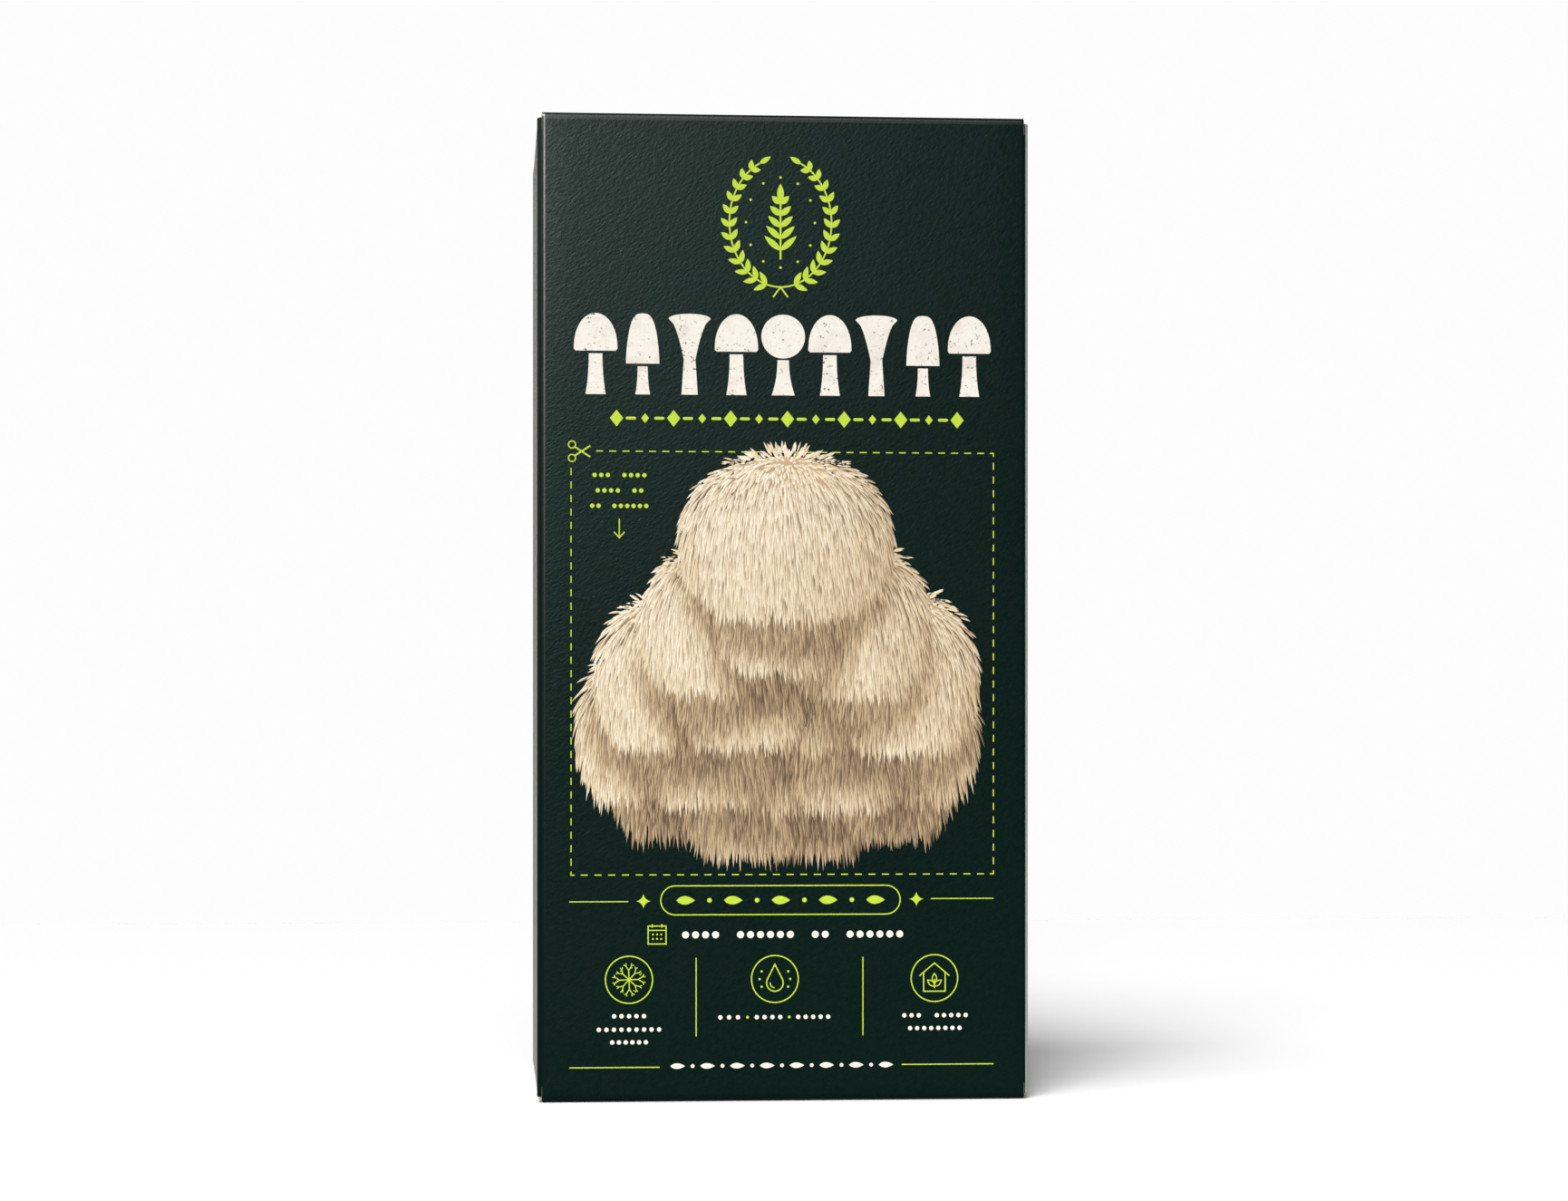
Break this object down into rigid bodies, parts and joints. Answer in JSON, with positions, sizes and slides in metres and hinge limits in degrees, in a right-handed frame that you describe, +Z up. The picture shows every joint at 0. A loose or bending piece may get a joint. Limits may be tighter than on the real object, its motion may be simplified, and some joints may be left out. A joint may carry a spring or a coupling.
{
  "type": "mushroom grow kit carton",
  "caption": "Tall rectangular paperboard carton with a tuck lid and folding dust flaps, holding a film-bagged brick of mushroom substrate for growing at home.",
  "frame": {"origin": "centre of the carton's footprint, on the surface that it stands on", "axes": "+Z up along the carton's height, -Y out of the printed front, +X to the right as seen from the front"},
  "size_m": [0.127, 0.095, 0.254],
  "materials": {
    "printed_board": "soft-touch matt dark green",
    "side_board": "matt light grey",
    "raw_board": "bare fluted kraft, cut edges and inside",
    "cream_ink": "matt cream print, slightly worn",
    "lime_ink": "matt lime green print",
    "bag_film": "clear crinkled film",
    "substrate": "white mycelium over sawdust"
  },
  "bodies": {
    "carton": {"carton_shell": "printed_board", "grow_bag": "bag_film", "grow_block": "substrate"},
    "lid": {"top_lid": "printed_board"},
    "left_flap": {"dust_flap_left": "side_board"},
    "right_flap": {"dust_flap_right": "side_board"}
  },
  "joints": [
    {"name": "top_lid_hinge", "type": "hinge", "parent": "carton", "child": "lid", "pos_m": [0, -0.0455, 0.254], "axis": [1, 0, 0], "range_deg": [0, 135]},
    {"name": "dust_flap_left_hinge", "type": "hinge", "parent": "carton", "child": "left_flap", "pos_m": [-0.0615, -0.002, 0.2525], "axis": [0, -1, 0], "range_deg": [0, 105]},
    {"name": "dust_flap_right_hinge", "type": "hinge", "parent": "carton", "child": "right_flap", "pos_m": [0.0615, -0.002, 0.2525], "axis": [0, 1, 0], "range_deg": [0, 105]}
  ],
  "couplings": [
    {"joint": "dust_flap_left_hinge", "follows": "top_lid_hinge", "ratio": 0.75},
    {"joint": "dust_flap_right_hinge", "follows": "top_lid_hinge", "ratio": 0.75}
  ]
}
